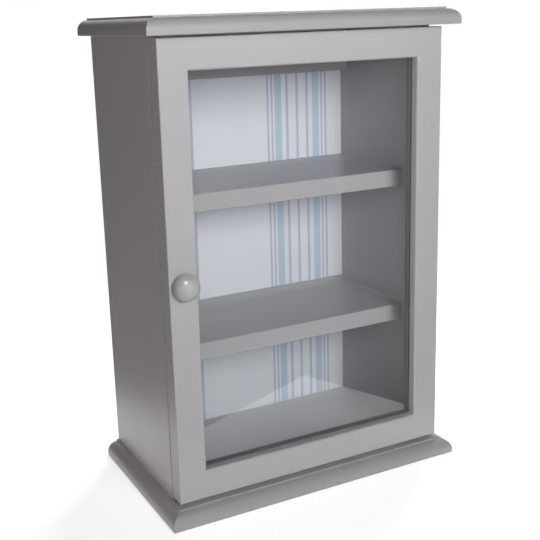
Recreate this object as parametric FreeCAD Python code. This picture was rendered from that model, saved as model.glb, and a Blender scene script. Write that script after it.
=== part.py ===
"""Small wall curio cabinet with two fixed shelves and a framed glass door.

Millimetres. X runs to the right, Y to the back (the wall), Z up.
The origin is under the middle of the whole cabinet, knob included.
"""
import FreeCAD, Part
import math
import os

# Crown and base boards
overall_width = 355.0
overall_depth = 203.0
overall_height = 510.0
board_thickness = 18.0
moulding_radius = 11.0
moulding_ledge = 0.3
moulding_step = 1.9
board_ease = 1.0
side_overhang = 14.3
front_overhang = 14.3

# Carcass
side_thickness = 12.0
back_thickness = 9.0
back_rebate = 6.0
shelf_thickness = 19.2
upper_shelf_top = 313.6
lower_shelf_top = 152.6
shelf_setback = 30.0
shelf_ease = 0.8
housing_depth = 4.0
rail_thickness = 15.0
rail_height = 52.5
wall_hole_diameter = 5.0
wall_hole_spacing = 200.0
paper_thickness = 0.3
upper_paper_lift = 3.0
middle_paper_lift = 5.5
lower_paper_lift = 1.7

# Door
door_thickness = 20.0
door_gap = 1.7
door_top_gap = 2.0
door_bottom_gap = 3.5
frame_width = 31.0
door_arris = 1.2
sight_arris = 2.5
lip_depth = 10.0
glass_cover = 8.0
glass_thickness = 3.0
glass_play = 1.0
tenon_thickness = 7.0
tenon_length = 14.0
tenon_width = 14.0
tenon_inset = 4.5

# Knob
knob_diameter = 27.0
knob_reach = 20.0
knob_dome_rise = 9.0
knob_neck_diameter = 16.0
knob_neck_length = 2.5
knob_spigot_diameter = 10.0
knob_drop = 2.5

# Butt hinges
hinge_height = 38.0
hinge_inset = 45.0
hinge_knuckles = 3
hinge_leaf_thickness = 1.2
hinge_leaf_reach = 9.5
knuckle_radius = 2.6
knuckle_standoff = 0.6
knuckle_gap = 0.2
leaf_clearance = 0.3
pin_radius = 1.3
pin_clearance = 0.05
hinge_hole_diameter = 2.4
hinge_hole_spread = 22.0

# Magnetic catch
catch_width = 11.0
catch_height = 22.0
catch_depth = 18.0
catch_setback = 1.0
catch_drop = 60.0
catch_ear_length = 8.0
catch_ear_thickness = 3.0
pole_thickness = 1.2
pole_height = 15.0
pole_depth = 13.0
magnet_thickness = 3.6
strike_thickness = 1.2
strike_width = 10.0
strike_height = 26.0
strike_clearance = 0.3
strike_hole_diameter = 2.4

# Levels along Z
base_top = board_thickness
crown_bottom = overall_height - board_thickness
door_bottom = base_top + door_bottom_gap
door_top = crown_bottom - door_top_gap
door_middle = (door_bottom + door_top) / 2
sight_bottom = door_bottom + frame_width
sight_top = door_top - frame_width
rail_bottom = crown_bottom - rail_height

# Planes along Y, from the knob's front to the wall
whole_depth = overall_depth + max(knob_reach - front_overhang, 0)
wall_y = whole_depth / 2
board_front = wall_y - overall_depth
door_front = board_front + front_overhang
door_back = door_front + door_thickness
carcass_front = door_back + door_gap
back_front = wall_y - back_thickness
paper_front = back_front - paper_thickness
rail_front = back_front - rail_thickness
shelf_front = carcass_front + shelf_setback
glass_front = door_front + lip_depth
bead_front = glass_front + glass_thickness

# Planes along X, as half widths
board_half = overall_width / 2
carcass_half = board_half - side_overhang
inner_half = carcass_half - side_thickness
sight_half = carcass_half - frame_width
glass_rebate_half = sight_half + glass_cover

X_AXIS = FreeCAD.Vector(1, 0, 0)
Y_AXIS = FreeCAD.Vector(0, 1, 0)
Z_AXIS = FreeCAD.Vector(0, 0, 1)


def block(x0, x1, y0, y1, z0, z1):
    return Part.makeBox(x1 - x0, y1 - y0, z1 - z0, FreeCAD.Vector(x0, y0, z0))


def rod(start, direction, radius, length):
    return Part.makeCylinder(radius, length, start, direction)


def face_from(edges):
    return Part.Face(Part.Wire(edges))


def line(start, end):
    return Part.LineSegment(start, end).toShape()


def arc(start, middle, end):
    return Part.Arc(start, middle, end).toShape()


def chain(points):
    return [line(a, b) for a, b in zip(points[:-1], points[1:])]


def countersunk_hole(mouth, direction, diameter, thickness):
    """A hole through a plate that opens at 45 degrees to take a flat screw head."""
    return Part.makeCone(diameter / 2 + thickness, diameter / 2, thickness, mouth, direction)


def save(name, solids):
    shape = solids[0] if len(solids) == 1 else Part.makeCompound(solids)
    shape.exportStep("parts/" + name + ".step")


def moulded_edge(outer, inward, bottom, depth_axis):
    """Edges of the thumbnail moulding from its lower arris to its top step."""
    def at(run, rise):
        return depth_axis * (outer + inward * run) + Z_AXIS * (bottom + rise)
    shoulder = board_thickness - moulding_step - moulding_radius
    bend = 1 - math.sqrt(0.5)
    edges = [arc(at(board_ease, 0), at(board_ease * bend, board_ease * bend), at(0, board_ease))]
    edges.append(line(at(0, board_ease), at(0, shoulder)))
    round_middle = at(moulding_radius * bend, shoulder + moulding_radius * (1 - bend))
    edges.append(arc(at(0, shoulder), round_middle, at(moulding_radius, shoulder + moulding_radius)))
    step_run = moulding_radius + moulding_ledge
    edges += chain([at(moulding_radius, shoulder + moulding_radius),
                    at(step_run, shoulder + moulding_radius), at(step_run, board_thickness)])
    return edges


def moulded_board(bottom):
    """A board moulded along the front and both ends, mitred at the front corners."""
    front = moulded_edge(board_front, 1, bottom, Y_AXIS)
    back_low = Y_AXIS * wall_y + Z_AXIS * bottom
    back_high = back_low + Z_AXIS * board_thickness
    front_face = face_from(front + chain([front[-1].Vertexes[-1].Point, back_high, back_low,
                                          front[0].Vertexes[0].Point]))
    front_bar = front_face.extrude(X_AXIS * overall_width)
    front_bar.translate(X_AXIS * -board_half)
    left = moulded_edge(-board_half, 1, bottom, X_AXIS)
    right = moulded_edge(board_half, -1, bottom, X_AXIS)
    end_face = face_from(left + [line(left[-1].Vertexes[-1].Point, right[-1].Vertexes[-1].Point)]
                         + right[::-1]
                         + [line(right[0].Vertexes[0].Point, left[0].Vertexes[0].Point)])
    end_bar = end_face.extrude(Y_AXIS * overall_depth)
    end_bar.translate(Y_AXIS * board_front)
    return front_bar.common(end_bar)


def sides():
    """The two signs of X, left first."""
    return (-1, 1)


def wall_holes():
    level = rail_bottom + rail_height / 2
    start_y = rail_front
    length = rail_thickness + back_thickness
    return [rod(FreeCAD.Vector(sign * wall_hole_spacing / 2, start_y, level), Y_AXIS,
                wall_hole_diameter / 2, length) for sign in sides()]


# Hinge line: the pin stands outside the right face, level with the gap behind the door
pin_x = carcass_half + knuckle_standoff + knuckle_radius
pin_y = door_back + door_gap / 2
hinge_levels = {"upper": door_top - hinge_inset - hinge_height, "lower": door_bottom + hinge_inset}
hinge_hole_x = carcass_half - hinge_leaf_reach / 2
plate_end = pin_x - knuckle_radius - leaf_clearance


def hinge_holes(level, on_door):
    direction = Y_AXIS * (-1 if on_door else 1)
    y = door_back if on_door else carcass_front
    middle = level + hinge_height / 2
    return [countersunk_hole(FreeCAD.Vector(hinge_hole_x, y, middle + sign * hinge_hole_spread / 2),
                             direction, hinge_hole_diameter, hinge_leaf_thickness) for sign in sides()]


def leaf_band(on_door):
    """Y range of a leaf, let in flush with the door's back or the side's front edge."""
    if on_door:
        return (door_back - hinge_leaf_thickness, door_back)
    return (carcass_front, carcass_front + hinge_leaf_thickness)


def leaf_recess(level, on_door):
    y0, y1 = leaf_band(on_door)
    return block(carcass_half - hinge_leaf_reach, carcass_half, y0, y1, level, level + hinge_height)


def hinge_leaf(level, on_door):
    """A leaf with every second knuckle; the carcass leaf has the first and last one."""
    y0, y1 = leaf_band(on_door)
    leaf = block(carcass_half - hinge_leaf_reach, plate_end, y0, y1, level, level + hinge_height)
    pitch = hinge_height / hinge_knuckles
    for number in range(1 if on_door else 0, hinge_knuckles, 2):
        z0 = level + number * pitch + (knuckle_gap / 2 if number > 0 else 0)
        z1 = level + (number + 1) * pitch - (knuckle_gap / 2 if number < hinge_knuckles - 1 else 0)
        tab = block(plate_end, pin_x, y0, y1, z0, z1)
        knuckle = rod(FreeCAD.Vector(pin_x, pin_y, z0), Z_AXIS, knuckle_radius, z1 - z0)
        leaf = leaf.fuse([tab, knuckle])
    bore = rod(FreeCAD.Vector(pin_x, pin_y, level), Z_AXIS, pin_radius + pin_clearance, hinge_height)
    return leaf.cut([bore] + hinge_holes(level, on_door)).removeSplitter()


def hinge_pin(level):
    """A plain pin, flush with the ends of the knuckles."""
    return rod(FreeCAD.Vector(pin_x, pin_y, level), Z_AXIS, pin_radius, hinge_height)


# Catch: its housing sits on the left side, its strike on the back of the left stile
catch_x0 = -inner_half
catch_middle_x = catch_x0 + catch_width / 2
catch_level = door_middle - catch_drop
catch_front = carcass_front + catch_setback
pole_front = door_back + strike_thickness + strike_clearance
pole_pack = 2 * pole_thickness + magnet_thickness


def pole_block(x0, x1):
    return block(x0, x1, pole_front, pole_front + pole_depth,
                 catch_level - pole_height / 2, catch_level + pole_height / 2)


def side_panel(side):
    """A side with tongues into both boards, the back rebate and the shelf and rail housings."""
    outer = side * carcass_half
    inner = side * inner_half
    x0, x1 = sorted((outer, inner))
    panel = block(x0, x1, carcass_front, wall_y, base_top - housing_depth, crown_bottom + housing_depth)
    cuts = []
    x0, x1 = sorted((inner, inner + side * back_rebate))
    cuts.append(block(x0, x1, back_front, wall_y, base_top, crown_bottom))
    x0, x1 = sorted((inner, inner + side * housing_depth))
    for top in (upper_shelf_top, lower_shelf_top):
        shelf_level = base_top + top
        cuts.append(block(x0, x1, shelf_front, back_front, shelf_level - shelf_thickness, shelf_level))
    cuts.append(block(x0, x1, rail_front, back_front, rail_bottom, crown_bottom))
    if side > 0:
        cuts += [leaf_recess(level, False) for level in hinge_levels.values()]
    return panel.cut(cuts)


def shelf(top):
    """A shelf let into both sides, with its two front arrises eased."""
    high = base_top + top
    board = block(-inner_half, inner_half, shelf_front, back_front, high - shelf_thickness, high)
    arrises = [edge for edge in board.Edges
               if all(abs(v.Y - shelf_front) < shelf_ease / 2 for v in edge.Vertexes)
               and abs(edge.Vertexes[0].X - edge.Vertexes[1].X) > inner_half]
    board = board.makeFillet(shelf_ease, arrises)
    ends = [block(*sorted((side * inner_half, side * (inner_half + housing_depth))),
                  shelf_front, back_front, high - shelf_thickness, high) for side in sides()]
    return board.fuse(ends).removeSplitter()


def lining_paper(low, high):
    return block(-inner_half, inner_half, paper_front, back_front, low, high)


def door_frame():
    """The whole door frame: eased outside, eased round the glass, rebated behind."""
    outside = block(-carcass_half, carcass_half, door_front, door_back, door_bottom, door_top)
    eased = [edge for edge in outside.Edges
             if max(v.Y for v in edge.Vertexes) < door_front + door_arris / 2]
    outside = outside.makeFillet(door_arris, eased)
    across = sight_prism(-sight_half, sight_half, X_AXIS, Z_AXIS, door_bottom, door_top)
    upright = sight_prism(sight_bottom, sight_top, Z_AXIS, X_AXIS, -carcass_half, carcass_half)
    rebate = block(-glass_rebate_half, glass_rebate_half, glass_front, door_back,
                   sight_bottom - glass_cover, sight_top + glass_cover)
    return outside.cut([across.common(upright), rebate])


def sight_prism(low, high, across, along, start, end):
    """A prism as wide as the sight opening, flared at the front by the rounded arris."""
    def at(place, depth):
        return across * place + Y_AXIS * (door_front + depth) + along * start
    bend = 1 - math.sqrt(0.5)
    near = sight_arris * bend
    edges = [line(at(low - sight_arris, 0), at(high + sight_arris, 0)),
             arc(at(high + sight_arris, 0), at(high + near, near), at(high, sight_arris)),
             line(at(high, sight_arris), at(high, door_thickness)),
             line(at(high, door_thickness), at(low, door_thickness)),
             line(at(low, door_thickness), at(low, sight_arris)),
             arc(at(low, sight_arris), at(low - near, near), at(low - sight_arris, 0))]
    return face_from(edges).extrude(along * (end - start))


def tenon(side, on_top):
    """The stub tenon at one end of a rail, clear of the glass rebate."""
    x0, x1 = sorted((side * sight_half, side * (sight_half + tenon_length)))
    y0 = door_front + (door_thickness - tenon_thickness) / 2
    z0 = door_top - tenon_inset - tenon_width if on_top else door_bottom + tenon_inset
    return block(x0, x1, y0, y0 + tenon_thickness, z0, z0 + tenon_width)


def stile(frame, side):
    x0, x1 = sorted((side * sight_half, side * carcass_half))
    piece = frame.common(block(x0, x1, door_front, door_back, door_bottom, door_top))
    cuts = [tenon(side, True), tenon(side, False)]
    if side > 0:
        cuts += [leaf_recess(level, True) for level in hinge_levels.values()]
    else:
        cuts.append(knob())
    return piece.cut(cuts)


def rail(frame, on_top):
    z0, z1 = (sight_top, door_top) if on_top else (door_bottom, sight_bottom)
    piece = frame.common(block(-sight_half, sight_half, door_front, door_back, z0, z1))
    return piece.fuse([tenon(side, on_top) for side in sides()]).removeSplitter()


def glazing_bead(place):
    """One of four mitred strips that hold the glass in its rebate."""
    low = sight_bottom - glass_cover
    high = sight_top + glass_cover
    outer = [FreeCAD.Vector(x, bead_front, z) for x, z in
             ((-glass_rebate_half, low), (glass_rebate_half, low),
              (glass_rebate_half, high), (-glass_rebate_half, high))]
    inner = [FreeCAD.Vector(x, bead_front, z) for x, z in
             ((-sight_half, sight_bottom), (sight_half, sight_bottom),
              (sight_half, sight_top), (-sight_half, sight_top))]
    after = (place + 1) % 4
    corners = [outer[place], outer[after], inner[after], inner[place]]
    return face_from(chain(corners + corners[:1])).extrude(Y_AXIS * (door_back - bead_front))


knob_seat = FreeCAD.Vector(-carcass_half + frame_width / 2, door_front, door_middle - knob_drop)


def knob():
    """A turned, domed knob on a short neck; its spigot goes through the stile."""
    def at(radius, reach):
        return knob_seat + X_AXIS * radius - Y_AXIS * reach
    head = knob_diameter / 2
    neck = knob_neck_diameter / 2
    spigot = knob_spigot_diameter / 2
    dome_foot = knob_reach - knob_dome_rise
    dome_radius = (head ** 2 + knob_dome_rise ** 2) / (2 * knob_dome_rise)
    half_way = head / 2
    half_rise = math.sqrt(dome_radius ** 2 - half_way ** 2) - (dome_radius - knob_dome_rise)
    edges = chain([at(0, knob_reach), at(0, -door_thickness), at(spigot, -door_thickness),
                   at(spigot, 0), at(neck, 0), at(neck, knob_neck_length),
                   at(head, knob_neck_length), at(head, dome_foot)])
    edges.append(arc(at(head, dome_foot), at(half_way, dome_foot + half_rise), at(0, knob_reach)))
    return face_from(edges).revolve(knob_seat, Y_AXIS, 360)


def build():
    left_side = side_panel(-1)
    right_side = side_panel(1)
    save("left_side_panel", [left_side])
    save("right_side_panel", [right_side])
    save("crown_board", [moulded_board(crown_bottom).cut([left_side, right_side])])
    save("base_board", [moulded_board(0).cut([left_side, right_side])])
    save("upper_shelf", [shelf(upper_shelf_top)])
    save("lower_shelf", [shelf(lower_shelf_top)])

    rail_half = inner_half + housing_depth
    hanging_rail = block(-rail_half, rail_half, rail_front, back_front, rail_bottom, crown_bottom)
    save("hanging_rail", [hanging_rail.cut(wall_holes())])
    back_half = inner_half + back_rebate
    back = block(-back_half, back_half, back_front, wall_y, base_top, crown_bottom)
    save("back_panel", [back.cut(wall_holes())])

    upper_level = base_top + upper_shelf_top
    lower_level = base_top + lower_shelf_top
    save("upper_lining_paper", [lining_paper(upper_level + upper_paper_lift, rail_bottom)])
    save("middle_lining_paper", [lining_paper(lower_level + middle_paper_lift,
                                              upper_level - shelf_thickness)])
    save("lower_lining_paper", [lining_paper(base_top + lower_paper_lift,
                                             lower_level - shelf_thickness)])

    frame = door_frame()
    save("door_left_stile", [stile(frame, -1)])
    save("door_right_stile", [stile(frame, 1)])
    save("door_top_rail", [rail(frame, True)])
    save("door_bottom_rail", [rail(frame, False)])
    glass_half = glass_rebate_half - glass_play
    glass_grow = glass_cover - glass_play
    save("door_glass", [block(-glass_half, glass_half, glass_front, bead_front,
                              sight_bottom - glass_grow, sight_top + glass_grow)])
    for place, name in enumerate(("bottom", "right", "top", "left")):
        save(name + "_glazing_bead", [glazing_bead(place)])
    save("door_knob", [knob()])

    for name, level in hinge_levels.items():
        save(name + "_hinge_carcass_leaf", [hinge_leaf(level, False)])
        save(name + "_hinge_door_leaf", [hinge_leaf(level, True)])
        save(name + "_hinge_pin", [hinge_pin(level)])
    build_catch()


def build_catch():
    housing = block(catch_x0, catch_x0 + catch_width, catch_front, catch_front + catch_depth,
                    catch_level - catch_height / 2, catch_level + catch_height / 2)
    ear_half = catch_height / 2 + catch_ear_length
    ears = block(catch_x0, catch_x0 + catch_ear_thickness, catch_front, catch_front + catch_depth,
                 catch_level - ear_half, catch_level + ear_half)
    pack_x0 = catch_middle_x - pole_pack / 2
    pack_x1 = catch_middle_x + pole_pack / 2
    save("catch_housing", [housing.fuse(ears).removeSplitter().cut(pole_block(pack_x0, pack_x1))])
    plates = [pole_block(pack_x0, pack_x0 + pole_thickness), pole_block(pack_x1 - pole_thickness, pack_x1)]
    save("catch_pole_plates", plates)
    save("catch_magnet", [pole_block(pack_x0 + pole_thickness, pack_x1 - pole_thickness)])
    strike = block(catch_middle_x - strike_width / 2, catch_middle_x + strike_width / 2,
                   door_back, door_back + strike_thickness,
                   catch_level - strike_height / 2, catch_level + strike_height / 2)
    mouth = FreeCAD.Vector(catch_middle_x, door_back + strike_thickness, catch_level)
    hole = countersunk_hole(mouth, Y_AXIS * -1, strike_hole_diameter, strike_thickness)
    save("catch_strike_plate", [strike.cut(hole)])


os.makedirs("parts", exist_ok=True)
build()
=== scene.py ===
from math import cos, pi, radians, sin

import bmesh
import bpy
from mathutils import Matrix, Vector, noise


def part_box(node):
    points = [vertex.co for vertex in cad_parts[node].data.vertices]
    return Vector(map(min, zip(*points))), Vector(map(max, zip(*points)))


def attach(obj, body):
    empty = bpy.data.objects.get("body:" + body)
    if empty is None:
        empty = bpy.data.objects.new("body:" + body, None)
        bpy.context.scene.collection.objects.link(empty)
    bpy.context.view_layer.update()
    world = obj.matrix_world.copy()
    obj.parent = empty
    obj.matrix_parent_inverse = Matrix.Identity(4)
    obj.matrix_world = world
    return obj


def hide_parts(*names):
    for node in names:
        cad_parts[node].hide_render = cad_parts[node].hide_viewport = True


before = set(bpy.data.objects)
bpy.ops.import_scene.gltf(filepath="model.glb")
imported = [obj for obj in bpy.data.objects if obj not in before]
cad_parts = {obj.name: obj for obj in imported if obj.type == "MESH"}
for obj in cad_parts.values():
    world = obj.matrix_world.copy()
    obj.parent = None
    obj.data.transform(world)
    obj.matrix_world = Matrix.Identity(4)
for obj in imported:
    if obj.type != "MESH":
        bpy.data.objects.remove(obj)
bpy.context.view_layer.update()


# Base board: a thick fibreboard with a thumbnail moulding run along the front and both ends.
# It is grooved on top for the sides, glued to them, and sprayed satin grey with the rest.
# Every face but its flat top and underside takes a darker copy of the paint: painted shade.
MM = 0.001
PAINT_GREY = (0.462, 0.453, 0.466, 1)
SHADED_GREY = (0.385, 0.377, 0.388, 1)
SHARP_BEND = radians(38)
FLAT_BEND = radians(0.2)
WELD_GAP = 0.001 * MM
PLANE_GAP = 0.01 * MM
NO_LEAN = 0.01
FACES_UP = 0.99
MOULDING_ARRIS = 0.35 * MM


def shader_group(name, inputs, outputs):
    """A shader group with these named sockets, and the nodes at its two ends."""
    group = bpy.data.node_groups.new(name, "ShaderNodeTree")
    for label, kind in inputs:
        group.interface.new_socket(label, in_out="INPUT", socket_type="NodeSocket" + kind)
    for label, kind in outputs:
        group.interface.new_socket(label, in_out="OUTPUT", socket_type="NodeSocket" + kind)
    return group, group.nodes.new("NodeGroupInput"), group.nodes.new("NodeGroupOutput")


def worked_out(tree, operation, *values):
    """The result of a Math node in a tree; each value is a socket or a number."""
    node = tree.nodes.new("ShaderNodeMath")
    node.operation = operation
    for socket, value in zip(node.inputs, values):
        if isinstance(value, bpy.types.NodeSocket):
            tree.links.new(value, socket)
        else:
            socket.default_value = value
    return node.outputs["Value"]


def spots(group, ends, label, detail):
    """A noise inside a group, its spots as wide as the group's input of that label."""
    texture = group.nodes.new("ShaderNodeTexNoise")
    texture.inputs["Detail"].default_value = detail
    group.links.new(worked_out(group, "DIVIDE", 1, ends.outputs[label]), texture.inputs["Scale"])
    group.links.new(ends.outputs["Vector"], texture.inputs["Vector"])
    return texture.outputs["Fac"]


cloudy_tone, tone_in, tone_out = shader_group(
    "cloudy_tone",
    [("Vector", "Vector"), ("Color", "Color"), ("Spot Size", "Float"), ("Strength", "Float")],
    [("Color", "Color")])
tone_swing = worked_out(cloudy_tone, "SUBTRACT", spots(cloudy_tone, tone_in, "Spot Size", 4), 0.5)
tone_scale = cloudy_tone.nodes.new("ShaderNodeVectorMath")
tone_scale.operation = "SCALE"
cloudy_tone.links.new(tone_in.outputs["Color"], tone_scale.inputs[0])
cloudy_tone.links.new(worked_out(cloudy_tone, "MULTIPLY_ADD", tone_swing, tone_in.outputs["Strength"], 1),
                      tone_scale.inputs["Scale"])
cloudy_tone.links.new(tone_scale.outputs["Vector"], tone_out.inputs["Color"])

uneven_gloss, gloss_in, gloss_out = shader_group(
    "uneven_gloss",
    [("Vector", "Vector"), ("Spot Size", "Float"), ("Smoothest", "Float"), ("Roughest", "Float")],
    [("Roughness", "Float")])
gloss_range = uneven_gloss.nodes.new("ShaderNodeMapRange")
gloss_range.inputs["From Min"].default_value = 0.3
gloss_range.inputs["From Max"].default_value = 0.7
uneven_gloss.links.new(spots(uneven_gloss, gloss_in, "Spot Size", 3), gloss_range.inputs["Value"])
uneven_gloss.links.new(gloss_in.outputs["Smoothest"], gloss_range.inputs["To Min"])
uneven_gloss.links.new(gloss_in.outputs["Roughest"], gloss_range.inputs["To Max"])
uneven_gloss.links.new(gloss_range.outputs["Result"], gloss_out.inputs["Roughness"])

fine_tooth, tooth_in, tooth_out = shader_group(
    "fine_tooth", [("Vector", "Vector"), ("Grain Size", "Float")], [("Height", "Float")])
fine_tooth.links.new(spots(fine_tooth, tooth_in, "Grain Size", 5), tooth_out.inputs["Height"])


def finish(name, colour, spot, strength, gloss, grain, relief, metallic=0):
    """A material whose tone, gloss and fine texture all vary a little over the surface."""
    material = bpy.data.materials.new(name)
    material.use_nodes = True
    nodes = material.node_tree.nodes
    link = material.node_tree.links.new
    shader = nodes["Principled BSDF"]
    shader.inputs["Metallic"].default_value = metallic
    place = nodes.new("ShaderNodeTexCoord")
    parts = {}
    for group in (cloudy_tone, uneven_gloss, fine_tooth):
        parts[group.name] = nodes.new("ShaderNodeGroup")
        parts[group.name].name = group.name
        parts[group.name].node_tree = group
        link(place.outputs["Object"], parts[group.name].inputs["Vector"])
    tone, sheen, tooth = parts["cloudy_tone"], parts["uneven_gloss"], parts["fine_tooth"]
    tone.inputs["Color"].default_value = colour
    tone.inputs["Spot Size"].default_value = spot
    tone.inputs["Strength"].default_value = strength
    sheen.inputs["Spot Size"].default_value = spot / 2
    sheen.inputs["Smoothest"].default_value, sheen.inputs["Roughest"].default_value = gloss
    tooth.inputs["Grain Size"].default_value = grain
    bump = nodes.new("ShaderNodeBump")
    bump.inputs["Distance"].default_value = relief
    link(tone.outputs["Color"], shader.inputs["Base Color"])
    link(sheen.outputs["Roughness"], shader.inputs["Roughness"])
    link(tooth.outputs["Height"], bump.inputs["Height"])
    link(bump.outputs["Normal"], shader.inputs["Normal"])
    return material


satin_paint = finish("satin_grey_paint", PAINT_GREY, spot=30 * MM, strength=0.06,
                     gloss=(0.28, 0.35), grain=0.8 * MM, relief=0.0012 * MM)
# A darker copy of the satin paint: painted shade for the moulded boards' edges and ends.
shaded_paint = finish("shaded_grey_paint", SHADED_GREY, spot=30 * MM, strength=0.06,
                    gloss=(0.3, 0.38), grain=0.8 * MM, relief=0.0012 * MM)


def stood_up(name, shape):
    """A new object from a bmesh, smooth but for its sharp edges."""
    mesh = bpy.data.meshes.new(name)
    shape.to_mesh(mesh)
    shape.free()
    mesh.shade_smooth()
    mesh.set_sharp_from_angle(angle=SHARP_BEND)
    piece = bpy.data.objects.new(name, mesh)
    bpy.context.scene.collection.objects.link(piece)
    return piece


def one_run(first, second):
    """Whether two faces lie along one moulding, with a gentle bend between them."""
    straight = any(max(abs(first.normal[axis]), abs(second.normal[axis])) < NO_LEAN for axis in range(3))
    return straight and first.normal.angle(second.normal) < SHARP_BEND


def crisp_normals(mesh):
    """Corner normals that keep flats flat, run smoothly round the arrises and stop at mitres."""
    around = [[] for _ in mesh.vertices]
    for face in mesh.polygons:
        for vert in face.vertices:
            around[vert].append(face)
    normals = []
    for face in mesh.polygons:
        for vert in face.vertices:
            total = face.normal * face.area ** 2
            for other in around[vert]:
                if other is not face and one_run(face, other):
                    total += other.normal * other.area ** 2
            normals.append(total.normalized())
    mesh.normals_split_custom_set(normals)


def eased(node, body, material, radius, shortest=20 * MM, joints=()):
    """A copy of a solid with its long arrises rubbed down; edges in the joint planes stay."""
    shape = bmesh.new()
    shape.from_mesh(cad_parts[node].data)
    bmesh.ops.remove_doubles(shape, verts=shape.verts, dist=WELD_GAP)
    bmesh.ops.dissolve_limit(shape, angle_limit=FLAT_BEND, verts=shape.verts, edges=shape.edges)

    def in_joint(edge):
        return any(all(abs(vert.co[axis] - plane) < PLANE_GAP for vert in edge.verts)
                   for axis, plane in joints)
    arrises = [edge for edge in shape.edges
               if edge.is_manifold and edge.calc_length() > shortest
               and edge.calc_face_angle() > SHARP_BEND and not in_joint(edge)]
    bmesh.ops.bevel(shape, geom=arrises, offset=radius, segments=3, profile=0.5, affect="EDGES",
                    clamp_overlap=True)
    piece = stood_up(node + "_eased", shape)
    crisp_normals(piece.data)
    piece.data.materials.clear()
    piece.data.materials.append(material)
    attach(piece, body)
    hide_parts(node)
    return piece


def moulded(node):
    """A moulded board, every face but its flat top and underside in a darker copy of the paint as painted
    shade.
    """
    board = eased(node, "carcass", satin_paint, MOULDING_ARRIS).data
    board.materials.append(shaded_paint)
    # Faces that do not lie flat get the darker paint, as painted shade.
    for face in board.polygons:
        face.material_index = int(abs(face.normal.z) < FACES_UP)


moulded("base_board")


# Sides: two fibreboard panels with tongues into the base and crown and a rebate for the back.
# Shelf and rail ends are let into shallow housings; the right one also takes the hinges.
SIDE_ARRIS = 0.3 * MM
for side in ("left", "right"):
    eased(side + "_side_panel", "carcass", satin_paint, SIDE_ARRIS)


# Shelves: two thick boards of the same fibreboard, set back from the door.
# Their ends are glued into the housings of the sides, and they are sprayed with the carcass.
SHELF_ARRIS = 0.3 * MM
SHELVES = ("upper_shelf", "lower_shelf")
for shelf in SHELVES:
    eased(shelf, "carcass", satin_paint, SHELF_ARRIS)


# Back panel: unpainted fibreboard, fitted into the rebates of the sides from behind.
# Small brads along both edges and into the shelves' back edges hold it.
DARK_FIBRE = (0.24, 0.15, 0.085, 1)
PALE_FIBRE = (0.50, 0.37, 0.24, 1)
FIBRES_PER_METRE = (1100, 1100, 520)
BACK_ARRIS = 0.3 * MM
raw_board = finish("raw_board", PALE_FIBRE, spot=14 * MM, strength=0.2,
                   gloss=(0.72, 0.9), grain=0.5 * MM, relief=0.05 * MM)
board_nodes = raw_board.node_tree.nodes
board_link = raw_board.node_tree.links.new
fibre_lie = board_nodes.new("ShaderNodeMapping")
fibre_lie.inputs["Scale"].default_value = FIBRES_PER_METRE
fibres = board_nodes.new("ShaderNodeTexNoise")
fibres.inputs["Scale"].default_value = 1
fibres.inputs["Detail"].default_value = 6
fibre_colours = board_nodes.new("ShaderNodeValToRGB")
for stop, position, colour in zip(fibre_colours.color_ramp.elements, (0.32, 0.66), (DARK_FIBRE, PALE_FIBRE)):
    stop.position = position
    stop.color = colour
board_link(board_nodes["Texture Coordinate"].outputs["Object"], fibre_lie.inputs["Vector"])
board_link(fibre_lie.outputs["Vector"], fibres.inputs["Vector"])
board_link(fibres.outputs["Fac"], fibre_colours.inputs["Fac"])
board_link(fibre_colours.outputs["Color"], board_nodes["cloudy_tone"].inputs["Color"])
eased("back_panel", "carcass", raw_board, BACK_ARRIS)

zinc_steel = finish("zinc_steel", (0.58, 0.58, 0.60, 1), spot=5 * MM, strength=0.18,
                    gloss=(0.28, 0.46), grain=0.3 * MM, relief=0.004 * MM, metallic=1)


def instancing_tree(name, sizes):
    """A node tree that will put one shape on every point, with named sizes for it."""
    tree = bpy.data.node_groups.new(name, "GeometryNodeTree")
    face = tree.interface
    face.new_socket("Geometry", in_out="INPUT", socket_type="NodeSocketGeometry")
    for label in sizes:
        face.new_socket(label, in_out="INPUT", socket_type="NodeSocketFloat")
    face.new_socket("Facing", in_out="INPUT", socket_type="NodeSocketVector")
    face.new_socket("Material", in_out="INPUT", socket_type="NodeSocketMaterial")
    face.new_socket("Geometry", in_out="OUTPUT", socket_type="NodeSocketGeometry")
    return tree, tree.nodes.new("NodeGroupInput"), tree.nodes.new("NodeGroupOutput")


def put_on_points(tree, ends, out, shape):
    """Ends a tree: the shape on each point, turned to Facing and by a random part of a turn."""
    new, link = tree.nodes.new, tree.links.new
    facing = new("FunctionNodeEulerToRotation")
    spin = new("FunctionNodeRandomValue")
    spin.data_type = "FLOAT"
    spin.inputs[3].default_value = 2 * pi
    spin.inputs["Seed"].default_value = 4
    about = new("FunctionNodeAxisAngleToRotation")
    about.inputs["Axis"].default_value = (0, 0, 1)
    turned = new("FunctionNodeRotateRotation")
    turned.rotation_space = "LOCAL"
    onto = new("GeometryNodeInstanceOnPoints")
    real = new("GeometryNodeRealizeInstances")
    paint = new("GeometryNodeSetMaterial")
    link(ends.outputs["Facing"], facing.inputs["Euler"])
    link(spin.outputs[1], about.inputs["Angle"])
    link(facing.outputs["Rotation"], turned.inputs["Rotation"])
    link(about.outputs["Rotation"], turned.inputs["Rotate By"])
    link(ends.outputs["Geometry"], onto.inputs["Points"])
    link(shape, onto.inputs["Instance"])
    link(turned.outputs["Rotation"], onto.inputs["Rotation"])
    link(onto.outputs["Instances"], real.inputs["Geometry"])
    link(real.outputs["Geometry"], paint.inputs["Geometry"])
    link(ends.outputs["Material"], paint.inputs["Material"])
    link(paint.outputs["Geometry"], out.inputs["Geometry"])


def settled(piece):
    """The piece with its modifiers made into plain mesh."""
    view = bpy.context.evaluated_depsgraph_get()
    mesh = bpy.data.meshes.new_from_object(piece.evaluated_get(view))
    piece.modifiers.clear()
    piece.data = mesh


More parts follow.
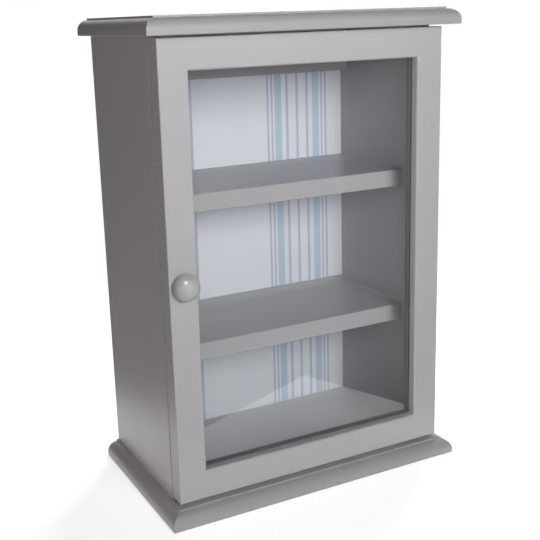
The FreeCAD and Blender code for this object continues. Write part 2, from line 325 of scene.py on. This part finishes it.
def fixings(name, tree, places, facing, material, body, **sizes):
    """One piece made of all the fixings that a tree puts at these places."""
    mesh = bpy.data.meshes.new(name)
    mesh.from_pydata(places, [], [])
    piece = bpy.data.objects.new(name, mesh)
    bpy.context.scene.collection.objects.link(piece)
    modifier = piece.modifiers.new("fixings", "NODES")
    modifier.node_group = tree
    values = {label.replace("_", " ").title(): size for label, size in sizes.items()}
    values["Facing"] = facing
    values["Material"] = material
    for socket in tree.interface.items_tree:
        if socket.in_out == "INPUT" and socket.name in values:
            modifier[socket.identifier] = values[socket.name]
    settled(piece)
    piece.data.shade_smooth()
    piece.data.set_sharp_from_angle(angle=SHARP_BEND)
    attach(piece, body)
    return piece


pin_tree, pin_in, pin_end = instancing_tree("driven_pins", ["Head Radius", "Head Rise"])
pin_dome = pin_tree.nodes.new("GeometryNodeMeshUVSphere")
pin_dome.inputs["Segments"].default_value = 14
pin_dome.inputs["Rings"].default_value = 7
pin_dome.inputs["Radius"].default_value = 1
pin_size = pin_tree.nodes.new("ShaderNodeCombineXYZ")
pin_shape = pin_tree.nodes.new("GeometryNodeTransform")
for axis, label in (("X", "Head Radius"), ("Y", "Head Radius"), ("Z", "Head Rise")):
    pin_tree.links.new(pin_in.outputs[label], pin_size.inputs[axis])
pin_tree.links.new(pin_dome.outputs["Mesh"], pin_shape.inputs["Geometry"])
pin_tree.links.new(pin_size.outputs["Vector"], pin_shape.inputs["Scale"])
put_on_points(pin_tree, pin_in, pin_end, pin_shape.outputs["Geometry"])

BACKWARD = (-pi / 2, 0, 0)
BRAD_INSET = 3 * MM
BRAD_ROWS = 7
SHELF_BRAD_SHARES = (0.2, 0.4, 0.6, 0.8)
back_low, back_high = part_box("back_panel")
brad_places = []
for row in range(BRAD_ROWS):
    height = back_low.z + (back_high.z - back_low.z) * (row + 0.5) / BRAD_ROWS
    for x in (back_low.x + BRAD_INSET, back_high.x - BRAD_INSET):
        brad_places.append((x, back_high.y, height))
for shelf in SHELVES:
    shelf_low, shelf_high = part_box(shelf)
    for share in SHELF_BRAD_SHARES:
        x = back_low.x + (back_high.x - back_low.x) * share
        brad_places.append((x, back_high.y, (shelf_low.z + shelf_high.z) / 2))
fixings("back_brads", pin_tree, brad_places, BACKWARD, zinc_steel, "carcass",
        head_radius=1.2 * MM, head_rise=0.25 * MM)


# Lining paper: printed paper pasted on the back, one sheet in each compartment.
# Blue stripes run up it in bands: a pin stripe in the middle and mirrored pairs beside it.
PAPER_WHITE = (0.815, 0.845, 0.90, 1)
PIN_STRIPE_BLUE = (0.52, 0.572, 0.715, 1)
WIDE_STRIPE_BLUE = (0.54, 0.655, 0.78, 1)
BAND_CENTRE = 88.0 * MM
BAND_REPEAT = 181.7 * MM
HALF_BAND = BAND_REPEAT / 2
INK_BLEED = 0.35 * MM
BLEED_GRAIN = 0.8 * MM
STRIPES = ((0.0, 3.1, PIN_STRIPE_BLUE), (14.0, 3.3, PIN_STRIPE_BLUE), (26.3, 9.4, WIDE_STRIPE_BLUE),
           (34.8, 2.4, PIN_STRIPE_BLUE), (40.4, 2.7, PIN_STRIPE_BLUE))
striped_paper = finish("striped_paper", PAPER_WHITE, spot=12 * MM, strength=0.05,
                       gloss=(0.7, 0.85), grain=0.35 * MM, relief=0.02 * MM)
paper_tree = striped_paper.node_tree
paper_nodes = paper_tree.nodes
paper_place = paper_nodes["Texture Coordinate"].outputs["Object"]
across = paper_nodes.new("ShaderNodeSeparateXYZ")
paper_tree.links.new(paper_place, across.inputs["Vector"])
ragged = paper_nodes.new("ShaderNodeTexNoise")
ragged.inputs["Scale"].default_value = 1 / BLEED_GRAIN
paper_tree.links.new(paper_place, ragged.inputs["Vector"])
past_centre = worked_out(paper_tree, "SUBTRACT", across.outputs["X"], BAND_CENTRE)
in_band = worked_out(paper_tree, "WRAP", past_centre, HALF_BAND, -HALF_BAND)
from_centre = worked_out(paper_tree, "ABSOLUTE", in_band)
bleed = worked_out(paper_tree, "SUBTRACT", ragged.outputs["Fac"], 0.5)
inked = worked_out(paper_tree, "MULTIPLY_ADD", bleed, INK_BLEED, from_centre)
print_ramp = paper_nodes.new("ShaderNodeValToRGB")
paper_tree.links.new(worked_out(paper_tree, "DIVIDE", inked, HALF_BAND), print_ramp.inputs["Fac"])
stops = print_ramp.color_ramp.elements
stops[0].color = stops[1].color = PAPER_WHITE
for offset, width, ink in STRIPES:
    half = width * MM / 2
    for edge, inner in ((offset * MM - half, 1), (offset * MM + half, -1)):
        if edge > 0:
            stops.new((edge - inner * INK_BLEED / 2) / HALF_BAND).color = PAPER_WHITE
            stops.new((edge + inner * INK_BLEED / 2) / HALF_BAND).color = ink
stops[0].color = STRIPES[0][2]
paper_tree.links.new(print_ramp.outputs["Color"], paper_nodes["cloudy_tone"].inputs["Color"])


def dressed(node, material):
    """Gives a solid's own mesh this material."""
    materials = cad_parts[node].data.materials
    materials.clear()
    materials.append(material)


for sheet in ("upper", "middle", "lower"):
    dressed(sheet + "_lining_paper", striped_paper)


# Hanging rail: a fibreboard strip across the top of the back, painted with the carcass.
# It is housed into the sides and has two holes for the wall screws.
RAIL_ARRIS = 0.5 * MM
eased("hanging_rail", "carcass", satin_paint, RAIL_ARRIS)


# Joint tape: strips of paper tape pressed into the corners over each shelf and the floor.
# They run round the left wall, the back and the right wall, bridge the joints and are painted over.
TAPE_THICKNESS = 0.5 * MM
TAPE_SIDE_RUN = 2 * MM
TAPE_SIDE_RISE = 2 * MM
TAPE_BACK_RUN = 15 * MM
TAPE_OVERLAP = 0.4 * MM
TAPE_STEPS = 8
STATION_GAP = 5 * MM
CORNER_RUN = 4 * STATION_GAP
FRONT_STOP = 3 * MM
TAPE_WANDER = ((11 * MM, 0.05), (3 * MM, 0.025))
wall_half = -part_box("upper_lining_paper")[0].x
back_face = back_low.y


def tape_route(front):
    """Stations from the left front corner to the right one, each with its way off the wall."""
    depth_steps = round((back_face - front) / STATION_GAP)
    width_steps = round(2 * wall_half / STATION_GAP)
    left = [((-wall_half, front + (back_face - front) * n / depth_steps), (1, 0)) for n in range(depth_steps)]
    left.append(((-wall_half, back_face), (1, -1)))
    rear = [((-wall_half + 2 * wall_half * n / width_steps, back_face), (0, -1))
            for n in range(1, width_steps)]
    right = [((-x, y), (-dx, dy)) for (x, y), (dx, dy) in reversed(left)]
    return left + rear + right


def joint_tape(name, level, rise, front):
    """A tape on one level: it stands up the back by rise and lies out over the board."""
    shape = bmesh.new()
    rings = []
    for (x, y), (dx, dy) in tape_route(front):
        wander = sum(noise.noise(Vector((x, y, level)) / length) * share for length, share in TAPE_WANDER)
        near_back = max(0, 1 - (back_face - y) / CORNER_RUN)
        lift = (TAPE_SIDE_RISE + (rise - TAPE_SIDE_RISE) * near_back) * (1 + wander)
        upper, lower = [], []
        for step in range(TAPE_STEPS + 1):
            share = step / TAPE_STEPS
            out_x = x + dx * TAPE_SIDE_RUN * share
            out_y = y + dy * TAPE_BACK_RUN * share
            height = level + lift * (1 - sin(share * pi / 2))
            upper.append(shape.verts.new((out_x + dx * TAPE_THICKNESS, out_y + dy * TAPE_THICKNESS, height)))
            lower.append(shape.verts.new((out_x, out_y, height - (TAPE_THICKNESS if step else 0))))
        rings.append(upper + lower[::-1])
    for near, far in zip(rings[:-1], rings[1:]):
        for corner in range(len(near)):
            after = (corner + 1) % len(near)
            shape.faces.new((near[corner], near[after], far[after], far[corner]))
    shape.faces.new(rings[0])
    shape.faces.new(rings[-1])
    bmesh.ops.recalc_face_normals(shape, faces=shape.faces)
    tape = stood_up(name, shape)
    tape.data.materials.append(satin_paint)
    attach(tape, "carcass")


for sheet, board, edge in (("upper", "upper_shelf", "upper_shelf"), ("middle", "lower_shelf", "lower_shelf"),
                           ("lower", "base_board", "left_side_panel")):
    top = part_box(board)[1].z
    paper_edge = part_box(sheet + "_lining_paper")[0].z
    joint_tape(sheet + "_joint_tape", top, paper_edge - top + TAPE_OVERLAP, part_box(edge)[0].y + FRONT_STOP)


# Crown board: the same fibreboard as the base, moulded the same way along the front and both ends.
# It is grooved below, glued on top of the sides and sprayed with them.
# Its edges and ends get the darker paint too, as painted shade.
moulded("crown_board")


# Butt hinges: two small solid brass hinges, let in flush between the right side and the door.
# Slotted brass screws hold the leaves; the pins are riveted into the carcass leaves.
FORWARD = (pi / 2, 0, 0)
BRASS = (0.66, 0.47, 0.20, 1)
brass = finish("brass", BRASS, spot=7 * MM, strength=0.3, gloss=(0.24, 0.42),
               grain=0.25 * MM, relief=0.006 * MM, metallic=1)
screw_tree, screw_in, screw_end = instancing_tree(
    "recessed_screws", ["Top Radius", "Seat Radius", "Height", "Sink", "Slot Length", "Cross Length",
                        "Slot Width", "Slot Depth"])


def screw_node(kind, **links):
    """A node in the screws' tree with these inputs linked."""
    node = screw_tree.nodes.new(kind)
    for label, source in links.items():
        screw_tree.links.new(source, node.inputs[label.replace("_", " ")])
    return node


size_of = screw_in.outputs
head = screw_node("GeometryNodeMeshCone", Radius_Top=size_of["Top Radius"],
                  Radius_Bottom=size_of["Seat Radius"], Depth=size_of["Height"])
head.inputs["Vertices"].default_value = 28
head_place = screw_node("ShaderNodeCombineXYZ", Z=worked_out(screw_tree, "MULTIPLY", size_of["Sink"], -1))
seated_head = screw_node("GeometryNodeTransform", Geometry=head.outputs["Mesh"],
                         Translation=head_place.outputs["Vector"])
head_top = worked_out(screw_tree, "SUBTRACT", size_of["Height"], size_of["Sink"])
slot_place = screw_node("ShaderNodeCombineXYZ", Z=head_top)
slot_height = worked_out(screw_tree, "MULTIPLY", size_of["Slot Depth"], 2)
bars = []
for along, over in (("Slot Length", "Slot Width"), ("Slot Width", "Cross Length")):
    bar_size = screw_node("ShaderNodeCombineXYZ", X=size_of[along], Y=size_of[over], Z=slot_height)
    bar = screw_node("GeometryNodeMeshCube", Size=bar_size.outputs["Vector"])
    bars.append(screw_node("GeometryNodeTransform", Geometry=bar.outputs["Mesh"],
                           Translation=slot_place.outputs["Vector"]))
cut = screw_tree.nodes.new("GeometryNodeMeshBoolean")
cut.operation = "DIFFERENCE"
screw_tree.links.new(seated_head.outputs["Geometry"], cut.inputs["Mesh 1"])
for bar in bars:
    screw_tree.links.new(bar.outputs["Geometry"], cut.inputs["Mesh 2"])
put_on_points(screw_tree, screw_in, screw_end, cut.outputs["Mesh"])

LEAF_ARRIS = 0.15 * MM
SHORT_ARRIS = 5 * MM
HINGE_SCREW_SPREAD = 22.0 * MM
COUNTERSUNK = dict(top_radius=2.25 * MM, seat_radius=1.15 * MM, height=1.1 * MM, sink=1.12 * MM,
                   slot_width=0.6 * MM)
side_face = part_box("right_side_panel")[1].x
for leaf, body, facing in (("carcass_leaf", "carcass", FORWARD), ("door_leaf", "door", BACKWARD)):
    screw_places = []
    for hinge in ("upper_hinge_", "lower_hinge_"):
        eased(hinge + leaf, body, brass, LEAF_ARRIS, shortest=SHORT_ARRIS)
        leaf_low, leaf_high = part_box(hinge + leaf)
        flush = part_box("right_side_panel")[0].y if body == "carcass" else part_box("door_right_stile")[1].y
        for sign in (-1, 1):
            screw_places.append(((leaf_low.x + side_face) / 2, flush,
                                 (leaf_low.z + leaf_high.z) / 2 + sign * HINGE_SCREW_SPREAD / 2))
    hinge_screws = fixings("hinge_" + leaf + "_screws", screw_tree, screw_places, facing, brass, body,
                           slot_length=5 * MM, cross_length=0.6 * MM, slot_depth=0.5 * MM, **COUNTERSUNK)
for hinge in ("upper", "lower"):
    dressed(hinge + "_hinge_pin", brass)


# Magnetic catch: a white plastic body on the left side holds a magnet between two steel poles.
# A steel strike plate on the left stile meets it; small raised screws hold the body,
# and a sunk one the plate.
HOUSING_ARRIS = 0.5 * MM
STRIKE_ARRIS = 0.2 * MM
CATCH_EAR_THICKNESS = 3 * MM
CATCH_EAR_LENGTH = 8 * MM
RIGHTWARD = (0, pi / 2, 0)
CROSS_SLOT = 2.6 * MM
white_plastic = finish("catch_plastic", (0.74, 0.74, 0.71, 1), spot=9 * MM, strength=0.05,
                       gloss=(0.4, 0.5), grain=0.4 * MM, relief=0.01 * MM)
ferrite = finish("ferrite", (0.03, 0.03, 0.033, 1), spot=3 * MM, strength=0.4,
                 gloss=(0.6, 0.8), grain=0.2 * MM, relief=0.02 * MM)
eased("catch_housing", "carcass", white_plastic, HOUSING_ARRIS, shortest=SHORT_ARRIS)
eased("catch_strike_plate", "door", zinc_steel, STRIKE_ARRIS, shortest=SHORT_ARRIS)
dressed("catch_pole_plates", zinc_steel)
dressed("catch_magnet", ferrite)
housing_low, housing_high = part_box("catch_housing")
ear_places = [(housing_low.x + CATCH_EAR_THICKNESS, (housing_low.y + housing_high.y) / 2, height)
              for height in (housing_low.z + CATCH_EAR_LENGTH / 2, housing_high.z - CATCH_EAR_LENGTH / 2)]
catch_screws = fixings("catch_ear_screws", screw_tree, ear_places, RIGHTWARD, zinc_steel, "carcass",
                       top_radius=1.8 * MM, seat_radius=2.7 * MM, height=1.5 * MM, sink=0,
                       slot_length=CROSS_SLOT, cross_length=CROSS_SLOT, slot_width=0.6 * MM,
                       slot_depth=0.9 * MM)
strike_low, strike_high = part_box("catch_strike_plate")
strike_place = ((strike_low.x + strike_high.x) / 2, strike_high.y, (strike_low.z + strike_high.z) / 2)
strike_screw = fixings("strike_plate_screw", screw_tree, [strike_place], BACKWARD, zinc_steel, "door",
                       slot_length=CROSS_SLOT, cross_length=CROSS_SLOT, slot_depth=0.6 * MM, **COUNTERSUNK)


# Door frame: two stiles and two rails of hardwood, tenoned, glued and sanded flush before painting.
# The front arrises are rounded; the back is rebated for the glass.
FRAME_ARRIS = 0.35 * MM
joint_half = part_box("door_right_stile")[0].x
frame_joints = ((0, joint_half), (0, -joint_half))
for part in ("left_stile", "right_stile", "top_rail", "bottom_rail"):
    eased("door_" + part, "door", satin_paint, FRAME_ARRIS, joints=frame_joints)


# Door glass: one pane of clear float glass, bedded in the rebate behind the lip of the frame.
# Its outward faces mirror the room; light and what lies behind pass straight through it.
GLASS_PASSES = 0.99
GLASS_MIRROR = 1.8
PANE_ARRIS = 0.3 * MM
clear_glass = finish("clear_glass", (0.975, 0.985, 0.98, 1), spot=60 * MM, strength=0.01,
                     gloss=(0.0, 0.012), grain=90 * MM, relief=0.02 * MM)
glass_tree = clear_glass.node_tree
glass_shader = glass_tree.nodes["Principled BSDF"]
for label, value in (("Transmission Weight", 1), ("IOR", 1.0), ("Coat IOR", GLASS_MIRROR),
                     ("Coat Roughness", 0)):
    glass_shader.inputs[label].default_value = value
pane_face = glass_tree.nodes.new("ShaderNodeNewGeometry")
outer_face = worked_out(glass_tree, "SUBTRACT", 1, pane_face.outputs["Backfacing"])
glass_tree.links.new(outer_face, glass_shader.inputs["Coat Weight"])
glass_rays = glass_tree.nodes.new("ShaderNodeLightPath").outputs
mirrored = worked_out(glass_tree, "GREATER_THAN", glass_rays["Is Glossy Ray"],
                      glass_rays["Is Transmission Ray"])
straight = worked_out(glass_tree, "MAXIMUM", glass_rays["Is Shadow Ray"], glass_rays["Is Diffuse Ray"])
glass_stops = glass_tree.nodes.new("ShaderNodeMapRange")
glass_stops.inputs["To Min"].default_value = 1
glass_stops.inputs["To Max"].default_value = 1 - GLASS_PASSES
glass_tree.links.new(worked_out(glass_tree, "MAXIMUM", straight, mirrored), glass_stops.inputs["Value"])
glass_tree.links.new(glass_stops.outputs["Result"], glass_shader.inputs["Alpha"])
eased("door_glass", "door", clear_glass, PANE_ARRIS)


# Glazing beads: four mitred strips that press the pane into its rebate, their paint darkened as painted shade
# for the hollow behind the glass.
# Fine panel pins, a hand's width apart, hold them to the frame.
BEAD_SHADE_GREY = (0.15, 0.147, 0.152, 1)
BEAD_ARRIS = 0.5 * MM
PIN_GAP = 70 * MM
# A dark copy of the grey paint: painted shade on the beads behind the glass.
bead_shade_paint = finish("bead_shade_paint", BEAD_SHADE_GREY, spot=20 * MM, strength=0.12,
                    gloss=(0.4, 0.5), grain=0.8 * MM, relief=0.002 * MM)
for bead in ("bottom", "right", "top", "left"):
    eased(bead + "_glazing_bead", "door", bead_shade_paint, BEAD_ARRIS)
bead_low, bead_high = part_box("left_glazing_bead")
bead_middle = (bead_high.x - bead_low.x) / 2
bead_height = bead_high.z - bead_low.z
bead_span = -2 * bead_low.x
pin_rows = round(bead_height / PIN_GAP)
pin_columns = round(bead_span / PIN_GAP)
pin_places = []
for row in range(pin_rows):
    height = bead_low.z + bead_height * (row + 0.5) / pin_rows
    for x in (bead_low.x + bead_middle, -bead_low.x - bead_middle):
        pin_places.append((x, bead_high.y, height))
for column in range(pin_columns):
    x = bead_low.x + bead_span * (column + 0.5) / pin_columns
    for height in (bead_low.z + bead_middle, bead_high.z - bead_middle):
        pin_places.append((x, bead_high.y, height))
fixings("glazing_pins", pin_tree, pin_places, BACKWARD, zinc_steel, "door",
        head_radius=0.7 * MM, head_rise=0.12 * MM)


# Knob: turned wood with a ball-like face and a short neck, painted with the door.
# Its spigot is glued into a hole through the left stile.
KNOB_NECK_RADIUS = 8 * MM
KNOB_NECK_LENGTH = 2.5 * MM
KNOB_BACK_ROUND = 2.2 * MM
KNOB_SPIGOT_RADIUS = 5 * MM
KNOB_RIM_WIDTH = 1.8 * MM
KNOB_RIM_STEPS = 6
KNOB_DOME_STEPS = 24
KNOB_TURNS = 72
KNOB_WELD_GAP = 0.01 * MM
knob_low, knob_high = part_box("door_knob")
knob_radius = (knob_high.x - knob_low.x) / 2
door_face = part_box("door_left_stile")[0].y
knob_reach = door_face - knob_low.y
dome_centre = KNOB_NECK_LENGTH + KNOB_BACK_ROUND + KNOB_RIM_WIDTH
spigot_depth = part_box("door_left_stile")[1].y - door_face
knob_outline = [(0, -spigot_depth), (KNOB_SPIGOT_RADIUS, -spigot_depth), (KNOB_SPIGOT_RADIUS, 0),
                (KNOB_NECK_RADIUS, 0), (KNOB_NECK_RADIUS, KNOB_NECK_LENGTH)]
for step in range(KNOB_RIM_STEPS + 1):
    turn = pi / 2 * step / KNOB_RIM_STEPS
    knob_outline.append((knob_radius - KNOB_BACK_ROUND * (1 - sin(turn)),
                         KNOB_NECK_LENGTH + KNOB_BACK_ROUND * (1 - cos(turn))))
for step in range(KNOB_DOME_STEPS + 1):
    turn = pi / 2 * step / KNOB_DOME_STEPS
    knob_outline.append((knob_radius * cos(turn), dome_centre + (knob_reach - dome_centre) * sin(turn)))
knob_axis = Vector(((knob_low.x + knob_high.x) / 2, door_face, (knob_low.z + knob_high.z) / 2))
knob_shape = bmesh.new()
knob_line = [knob_shape.verts.new(knob_axis + Vector((radius, -reach, 0))) for radius, reach in knob_outline]
knob_edges = [knob_shape.edges.new(pair) for pair in zip(knob_line[:-1], knob_line[1:])]
bmesh.ops.spin(knob_shape, geom=knob_line + knob_edges, cent=knob_axis, axis=(0, 1, 0), angle=2 * pi,
               steps=KNOB_TURNS, use_merge=True)
bmesh.ops.remove_doubles(knob_shape, verts=knob_shape.verts, dist=KNOB_WELD_GAP)
bmesh.ops.recalc_face_normals(knob_shape, faces=knob_shape.faces)
knob = stood_up("turned_knob", knob_shape)
knob.data.materials.append(satin_paint)
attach(knob, "door")
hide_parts("door_knob")


# Floor and surround: a white floor that fades out into a white surround.
# Both show white to the camera and in reflections, and light the object only softly.
AMBIENT = 0.07
FLOOR_BOUNCE = 0.06
FLOOR_LIFT = 0.6
FLOOR_FADE = (0.4, 0.9)


def white_to_eye(tree, plain, seen):
    """A socket that is seen for camera, glossy and transmission rays and plain for the rest."""
    rays = tree.nodes.new("ShaderNodeLightPath").outputs
    eye = worked_out(tree, "MAXIMUM", rays["Is Camera Ray"], rays["Is Glossy Ray"])
    level = tree.nodes.new("ShaderNodeMapRange")
    level.inputs["To Min"].default_value = plain
    level.inputs["To Max"].default_value = seen
    tree.links.new(worked_out(tree, "MAXIMUM", eye, rays["Is Transmission Ray"]), level.inputs["Value"])
    return level.outputs["Result"]


world = bpy.data.worlds.new("studio")
world.use_nodes = True
bpy.context.scene.world = world
surround = world.node_tree.nodes["Background"]
surround.inputs["Color"].default_value = (1, 1, 1, 1)
world.node_tree.links.new(white_to_eye(world.node_tree, AMBIENT, 1), surround.inputs["Strength"])

floor_white = finish("floor_white", (0.9, 0.9, 0.9, 1), spot=400 * MM, strength=0.01,
                     gloss=(0.85, 0.95), grain=2 * MM, relief=0.001 * MM)
floor_tree = floor_white.node_tree
floor_shader = floor_tree.nodes["Principled BSDF"]
floor_shader.inputs["Emission Color"].default_value = (1, 1, 1, 1)
floor_tree.links.new(white_to_eye(floor_tree, FLOOR_BOUNCE, FLOOR_LIFT),
                     floor_shader.inputs["Emission Strength"])
from_middle = floor_tree.nodes.new("ShaderNodeVectorMath")
from_middle.operation = "LENGTH"
floor_fade = floor_tree.nodes.new("ShaderNodeMapRange")
floor_fade.interpolation_type = "SMOOTHSTEP"
floor_fade.inputs["From Min"].default_value, floor_fade.inputs["From Max"].default_value = FLOOR_FADE
floor_fade.inputs["To Min"].default_value = 1
floor_fade.inputs["To Max"].default_value = 0
floor_tree.links.new(floor_tree.nodes["Texture Coordinate"].outputs["Object"], from_middle.inputs[0])
floor_tree.links.new(from_middle.outputs["Value"], floor_fade.inputs["Value"])
floor_tree.links.new(floor_fade.outputs["Result"], floor_shader.inputs["Alpha"])


def flat_sheet(name, corner, along, over, material):
    """A four-cornered sheet from one corner along two edges, for the stage."""
    corner, along, over = Vector(corner), Vector(along), Vector(over)
    mesh = bpy.data.meshes.new(name)
    mesh.from_pydata([corner, corner + along, corner + along + over, corner + over], [], [(0, 1, 2, 3)])
    mesh.materials.append(material)
    sheet = bpy.data.objects.new(name, mesh)
    bpy.context.scene.collection.objects.link(sheet)
    return sheet


floor_half = FLOOR_FADE[1]
floor = flat_sheet("floor", (-floor_half, -floor_half, 0), (2 * floor_half, 0, 0), (0, 2 * floor_half, 0),
                   floor_white)


# Lamps: soft square lamps in front, low ones and a warm one on the left to fill, one behind.
# The glint lamp shows in the gloss only, and the back lamp in everything but the gloss.
for name, place, aim, spread, size, power, tint in (
        ("key_lamp", (0.0, -1.25, 0.72), 0.25, 180, 0.4, 5.2, (1, 1, 1)),
        ("top_lamp", (-0.15, -1.15, 0.72), 0.52, 60, 0.5, 0.7, (1, 1, 1)),
        ("low_lamp", (-0.1, -1.5, 0.3), 0.25, 180, 0.5, 1.6, (1, 1, 1)),
        ("fill_lamp", (-0.55, -1.3, 0.5), 0.25, 180, 0.5, 2.1, (1, 1, 1)),
        ("left_lamp", (-1.4, -0.4, 0.2), 0.2, 180, 0.5, 3.1, (1, 0.88, 0.82)),
        ("glint_lamp", (-0.42, -0.62, 1.15), 0.25, 180, 0.22, 12, (1, 1, 1)),
        ("back_lamp", (1.0, 1.0, 1.4), 0.25, 180, 0.8, 24, (1, 1, 1))):
    lamp_data = bpy.data.lights.new(name, "AREA")
    lamp_data.shape = "SQUARE"
    lamp_data.size = size
    lamp_data.energy = power
    lamp_data.color = tint
    lamp_data.spread = radians(spread)
    lamp = bpy.data.objects.new(name, lamp_data)
    lamp.location = place
    lamp.rotation_euler = (Vector((0, 0, aim)) - Vector(place)).to_track_quat("-Z", "Y").to_euler()
    lamp.visible_camera = False
    lamp.visible_diffuse = name != "glint_lamp"
    lamp.visible_glossy = name != "back_lamp"
    bpy.context.scene.collection.objects.link(lamp)


# Flags: black cards stood on the floor to the left, front and right of the cabinet, one overhead.
# Only reflections see them: they give the pane and the gloss a dark room to mirror.
LEFT_CORNER = (-0.369, -0.123, 0)
RIGHT_CORNER = (0.153, -0.347, 0)
SIDE_FLAG_RUN = (0.189, 0.493, 0)
FRONT_FLAG_RUN = (1.685, -0.723, 0)
LEFT_FLAG_RISE = (0, 0, 0.8)
FRONT_FLAG_RISE = (0, 0, 0.5)
RIGHT_FLAG_RISE = (0, 0, 0.16)
ROOF_HEIGHT = 1.9
ROOF_HALF = 2
flag_black = finish("flag_black", (0.02, 0.02, 0.02, 1), spot=50 * MM, strength=0.2,
                    gloss=(0.8, 0.9), grain=1 * MM, relief=0.02 * MM)
for name, corner, along, over in (
        ("left_flag", LEFT_CORNER, SIDE_FLAG_RUN, LEFT_FLAG_RISE),
        ("front_flag", LEFT_CORNER, FRONT_FLAG_RUN, FRONT_FLAG_RISE),
        ("right_flag", RIGHT_CORNER, SIDE_FLAG_RUN, RIGHT_FLAG_RISE),
        ("roof_flag", (-ROOF_HALF, -ROOF_HALF, ROOF_HEIGHT), (2 * ROOF_HALF, 0, 0), (0, 2 * ROOF_HALF, 0))):
    flag = flat_sheet(name, corner, along, over, flag_black)
    flag.visible_camera = False
    flag.visible_diffuse = False
    flag.visible_transmission = False
    flag.visible_shadow = False


# Camera: a plain lens a metre off, to the left of the cabinet and level with its crown.
# Its place, turn and shift were fitted so that the cabinet's edges fall where a photograph has them.
CAMERA_PLACE = (-0.48377, -0.88405, 0.5053)
CAMERA_TURN = radians(26.791)
CAMERA_DOWN = radians(13.683)
CAMERA_ROLL = radians(-1.913)
camera_data = bpy.data.cameras.new("camera")
camera_data.sensor_width = 36
camera_data.lens = 61.604
camera_data.shift_x = 0.04702
camera_data.shift_y = -0.05031
camera = bpy.data.objects.new("camera", camera_data)
camera.matrix_world = (Matrix.Translation(CAMERA_PLACE) @ Matrix.Rotation(-CAMERA_TURN, 4, "Z")
                       @ Matrix.Rotation(pi / 2 - CAMERA_DOWN, 4, "X") @ Matrix.Rotation(CAMERA_ROLL, 4, "Z"))
bpy.context.scene.collection.objects.link(camera)
bpy.context.scene.camera = camera
bpy.context.scene.view_settings.view_transform = "Standard"
